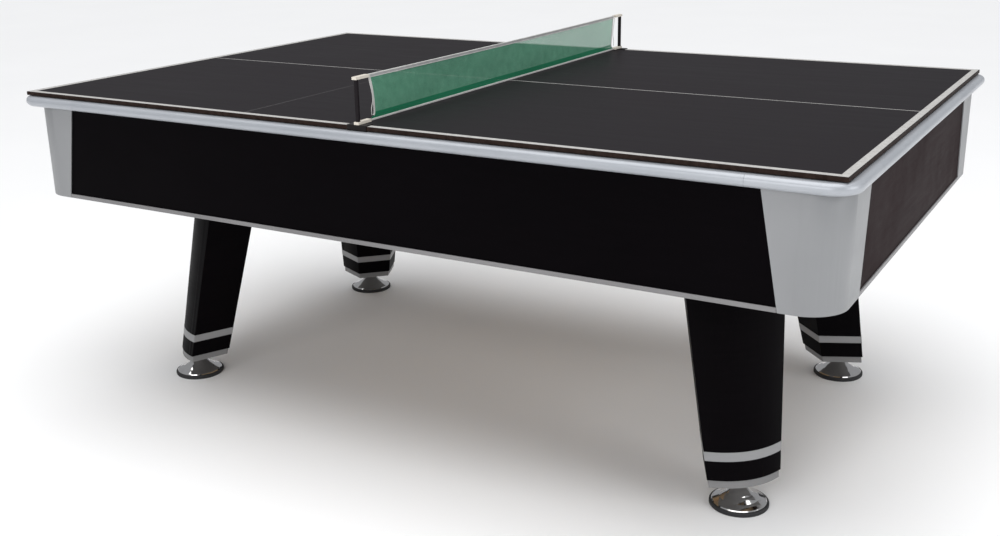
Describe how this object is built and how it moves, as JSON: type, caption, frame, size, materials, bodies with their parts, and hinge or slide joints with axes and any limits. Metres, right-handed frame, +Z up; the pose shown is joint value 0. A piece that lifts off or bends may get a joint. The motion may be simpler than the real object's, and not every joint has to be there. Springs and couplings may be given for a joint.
{
  "type": "pool table",
  "caption": "Pool table on raked legs with levelling feet, carrying a lift-off table-tennis top with a clip-on net.",
  "frame": {"origin": "on the floor under the middle of the table", "axes": "+X along the table's length, +Y across it to the back, +Z up; the front is the -Y side"},
  "size_m": [2.14, 1.4, 0.931],
  "materials": {
    "apron_black": "satin",
    "apron_brown_black": "satin",
    "casting_grey": "satin",
    "trim_grey": "satin",
    "frame_wood": "matte",
    "rail_silver": "satin",
    "rail_corner_silver": "satin",
    "bed_board_raw": "matte",
    "bed_cloth_green": "matte",
    "cushion_green": "matte",
    "pocket_black": "matte",
    "zinc_steel": "satin",
    "leg_black": "satin",
    "band_grey": "satin",
    "plinth_grey": "matte",
    "chrome_foot": "polished",
    "foot_rubber": "matte",
    "plate_charcoal": "matte",
    "pad_black": "matte",
    "clip_black": "satin",
    "post_black": "satin",
    "arm_cream": "matte",
    "net_green": "matte"
  },
  "bodies": {
    "table": {"front_apron": "apron_black", "back_apron": "apron_black", "left_apron": "apron_brown_black", "right_apron": "apron_brown_black", "corner_casting_fl": "casting_grey", "rail_corner_fl": "rail_corner_silver", "leg_fl": "leg_black", "corner_casting_fr": "casting_grey", "rail_corner_fr": "rail_corner_silver", "leg_fr": "leg_black", "corner_casting_bl": "casting_grey", "rail_corner_bl": "rail_corner_silver", "leg_bl": "leg_black", "corner_casting_br": "casting_grey", "rail_corner_br": "rail_corner_silver", "leg_br": "leg_black", "side_bottom_trims": "trim_grey", "end_bottom_trims": "trim_grey", "corner_posts": "frame_wood", "bed_beams": "frame_wood", "cross_members": "frame_wood", "leg_plates": "frame_wood", "front_rail": "rail_silver", "back_rail": "rail_silver", "left_rail": "rail_silver", "right_rail": "rail_silver", "bed_board": "bed_board_raw", "bed_cloth": "bed_cloth_green", "cushion_front_left": "cushion_green", "cushion_front_right": "cushion_green", "cushion_back_left": "cushion_green", "cushion_back_right": "cushion_green", "cushion_left_end": "cushion_green", "cushion_right_end": "cushion_green", "corner_pockets": "pocket_black", "side_pockets": "pocket_black", "leg_bolts": "zinc_steel", "foot_inserts": "zinc_steel", "leg_bands": "band_grey", "leg_plinths": "plinth_grey"},
    "left_top": {"left_top_plate": "plate_charcoal", "left_top_pads": "pad_black"},
    "right_top": {"right_top_plate": "plate_charcoal", "right_top_pads": "pad_black"},
    "near_post_set": {"near_net_clip": "clip_black", "near_net_post": "post_black", "near_net_arms": "arm_cream"},
    "far_post_set": {"far_net_clip": "clip_black", "far_net_post": "post_black", "far_net_arms": "arm_cream"},
    "net_sheet": {"net": "net_green"},
    "levelling_ring_fl": {"foot_ring_fl": "foot_rubber"},
    "levelling_screw_fl": {"foot_screw_fl": "chrome_foot"},
    "levelling_ring_fr": {"foot_ring_fr": "foot_rubber"},
    "levelling_screw_fr": {"foot_screw_fr": "chrome_foot"},
    "levelling_ring_bl": {"foot_ring_bl": "foot_rubber"},
    "levelling_screw_bl": {"foot_screw_bl": "chrome_foot"},
    "levelling_ring_br": {"foot_ring_br": "foot_rubber"},
    "levelling_screw_br": {"foot_screw_br": "chrome_foot"}
  },
  "joints": [
    {"name": "foot_fl_height", "type": "slide", "parent": "table", "child": "levelling_ring_fl", "axis": [0, 0, 1], "range_m": [-0.01, 0.012]},
    {"name": "foot_fl_turn", "type": "hinge", "parent": "levelling_ring_fl", "child": "levelling_screw_fl", "pos_m": [-0.802, -0.417, 0], "axis": [0, 0, 1], "range_deg": [-1801, 2161]},
    {"name": "foot_fr_height", "type": "slide", "parent": "table", "child": "levelling_ring_fr", "axis": [0, 0, 1], "range_m": [-0.01, 0.012]},
    {"name": "foot_fr_turn", "type": "hinge", "parent": "levelling_ring_fr", "child": "levelling_screw_fr", "pos_m": [0.802, -0.417, 0], "axis": [0, 0, 1], "range_deg": [-1801, 2161]},
    {"name": "foot_bl_height", "type": "slide", "parent": "table", "child": "levelling_ring_bl", "axis": [0, 0, 1], "range_m": [-0.01, 0.012]},
    {"name": "foot_bl_turn", "type": "hinge", "parent": "levelling_ring_bl", "child": "levelling_screw_bl", "pos_m": [-0.802, 0.417, 0], "axis": [0, 0, 1], "range_deg": [-1801, 2161]},
    {"name": "foot_br_height", "type": "slide", "parent": "table", "child": "levelling_ring_br", "axis": [0, 0, 1], "range_m": [-0.01, 0.012]},
    {"name": "foot_br_turn", "type": "hinge", "parent": "levelling_ring_br", "child": "levelling_screw_br", "pos_m": [0.802, 0.417, 0], "axis": [0, 0, 1], "range_deg": [-1801, 2161]},
    {"name": "left_top_lift", "type": "slide", "parent": "table", "child": "left_top", "axis": [0, 0, 1], "range_m": [0, 0.4]},
    {"name": "right_top_lift", "type": "slide", "parent": "table", "child": "right_top", "axis": [0, 0, 1], "range_m": [0, 0.4]},
    {"name": "near_clip_pull", "type": "slide", "parent": "left_top", "child": "near_post_set", "axis": [0, -1, 0], "range_m": [0, 0.06]},
    {"name": "far_clip_pull", "type": "slide", "parent": "left_top", "child": "far_post_set", "axis": [0, 1, 0], "range_m": [0, 0.06]},
    {"name": "net_lift", "type": "slide", "parent": "left_top", "child": "net_sheet", "axis": [0, 0, 1], "range_m": [0, 0.15]}
  ],
  "couplings": [
    {"joint": "foot_fl_turn", "follows": "foot_fl_height", "rad_per_m": 3141.6},
    {"joint": "foot_fr_turn", "follows": "foot_fr_height", "rad_per_m": 3141.6},
    {"joint": "foot_bl_turn", "follows": "foot_bl_height", "rad_per_m": 3141.6},
    {"joint": "foot_br_turn", "follows": "foot_br_height", "rad_per_m": 3141.6},
    {"joint": "right_top_lift", "follows": "left_top_lift", "ratio": 1}
  ]
}
